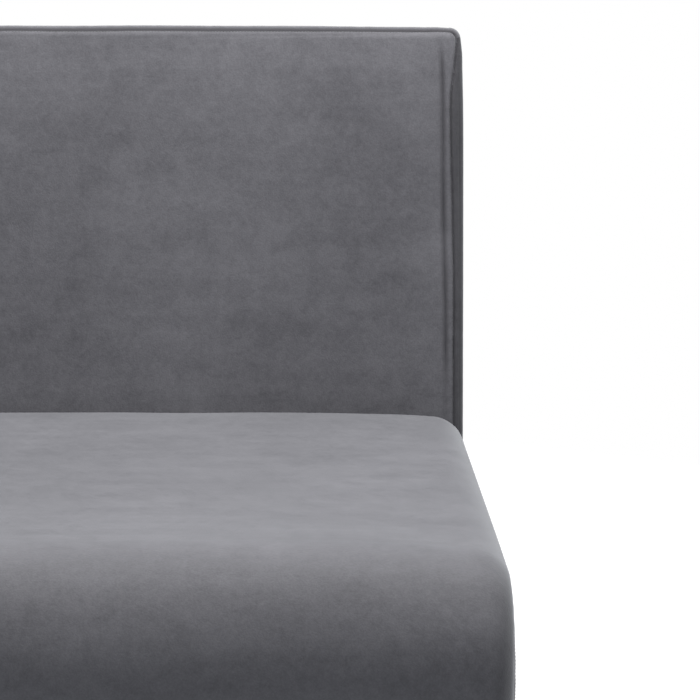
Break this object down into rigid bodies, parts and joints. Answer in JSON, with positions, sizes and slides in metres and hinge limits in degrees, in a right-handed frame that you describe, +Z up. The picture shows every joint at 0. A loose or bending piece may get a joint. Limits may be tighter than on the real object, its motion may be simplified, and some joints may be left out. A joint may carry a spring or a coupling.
{
  "type": "daybed",
  "caption": "Armless velvet daybed: loose bullnose mattress on a slatted wooden frame with tapered legs, and a slim full-length back panel that lifts off steel tongues.",
  "frame": {"origin": "on the floor, under the middle of the overall box", "axes": "+X along the daybed's length, to the sitter's left; +Y to the back; +Z up"},
  "size_m": [2, 0.9392, 0.8802],
  "materials": {
    "velvet": "grey short-pile velvet, soft sheen",
    "foam": "open-cell foam",
    "wadding": "bonded polyester wadding",
    "dust_cloth": "spunbonded cloth",
    "felt": "pressed felt",
    "stained_wood": "dark stained beech, satin lacquer",
    "raw_wood": "planed softwood and beech, unfinished",
    "slat_wood": "laminated birch, clear lacquer",
    "hardboard": "hardboard, smooth side out",
    "black_steel": "black powder coat",
    "zinc_steel": "zinc-plated steel",
    "black_plastic": "moulded nylon",
    "zip_nylon": "coil zip on woven tape"
  },
  "bodies": {
    "base": {"front_rail": "stained_wood", "rear_rail": "stained_wood", "left_end_rail": "stained_wood", "right_end_rail": "stained_wood", "front_slat_ledger": "raw_wood", "rear_slat_ledger": "raw_wood", "centre_cross_rail": "raw_wood", "corner_block_front_left": "raw_wood", "corner_block_rear_left": "raw_wood", "corner_block_front_right": "raw_wood", "corner_block_rear_right": "raw_wood", "slat_01": "slat_wood", "slat_02": "slat_wood", "slat_03": "slat_wood", "slat_04": "slat_wood", "slat_05": "slat_wood", "slat_06": "slat_wood", "slat_07": "slat_wood", "slat_08": "slat_wood", "slat_09": "slat_wood", "slat_10": "slat_wood", "slat_11": "slat_wood", "slat_12": "slat_wood", "slat_13": "slat_wood", "leg_front_left": "stained_wood", "felt_pad_front_left": "felt", "leg_front_right": "stained_wood", "felt_pad_front_right": "felt", "leg_front_centre": "stained_wood", "leg_rear_left": "stained_wood", "felt_pad_rear_left": "felt", "leg_rear_right": "stained_wood", "felt_pad_rear_right": "felt", "leg_rear_centre": "stained_wood", "back_bracket_left": "black_steel", "bracket_bolt_lower_left": "zinc_steel", "bracket_bolt_upper_left": "zinc_steel", "back_bracket_right": "black_steel", "bracket_bolt_lower_right": "zinc_steel", "bracket_bolt_upper_right": "zinc_steel"},
    "mattress": {"mattress_base_foam": "foam", "mattress_top_foam": "foam", "mattress_cover": "velvet", "mattress_zip": "zip_nylon"},
    "back": {"back_bottom_rail": "raw_wood", "back_top_rail": "raw_wood", "back_end_stile_left": "raw_wood", "back_mid_stile_left": "raw_wood", "back_end_stile_right": "raw_wood", "back_mid_stile_right": "raw_wood", "back_socket_left": "zinc_steel", "back_socket_right": "zinc_steel", "back_front_board": "hardboard", "back_foam": "foam", "back_rear_wadding": "wadding", "back_cover": "velvet", "back_dust_strip": "dust_cloth"},
    "front_foot": {"levelling_foot_front": "black_plastic"},
    "rear_foot": {"levelling_foot_rear": "black_plastic"},
    "zip_pull": {"zip_slider": "zinc_steel"}
  },
  "joints": [
    {"name": "mattress_lift", "type": "slide", "parent": "base", "child": "mattress", "axis": [0, 0, 1], "range_m": [0, 0.3]},
    {"name": "back_lift", "type": "slide", "parent": "base", "child": "back", "axis": [0, 0.0872, 0.9962], "range_m": [0, 0.2]},
    {"name": "front_foot_level", "type": "slide", "parent": "base", "child": "front_foot", "axis": [0, 0, -1], "range_m": [0, 0.012]},
    {"name": "rear_foot_level", "type": "slide", "parent": "base", "child": "rear_foot", "axis": [0, 0, -1], "range_m": [0, 0.012]},
    {"name": "zip_slide", "type": "slide", "parent": "mattress", "child": "zip_pull", "axis": [0, -1, 0], "range_m": [0, 0.612]}
  ]
}
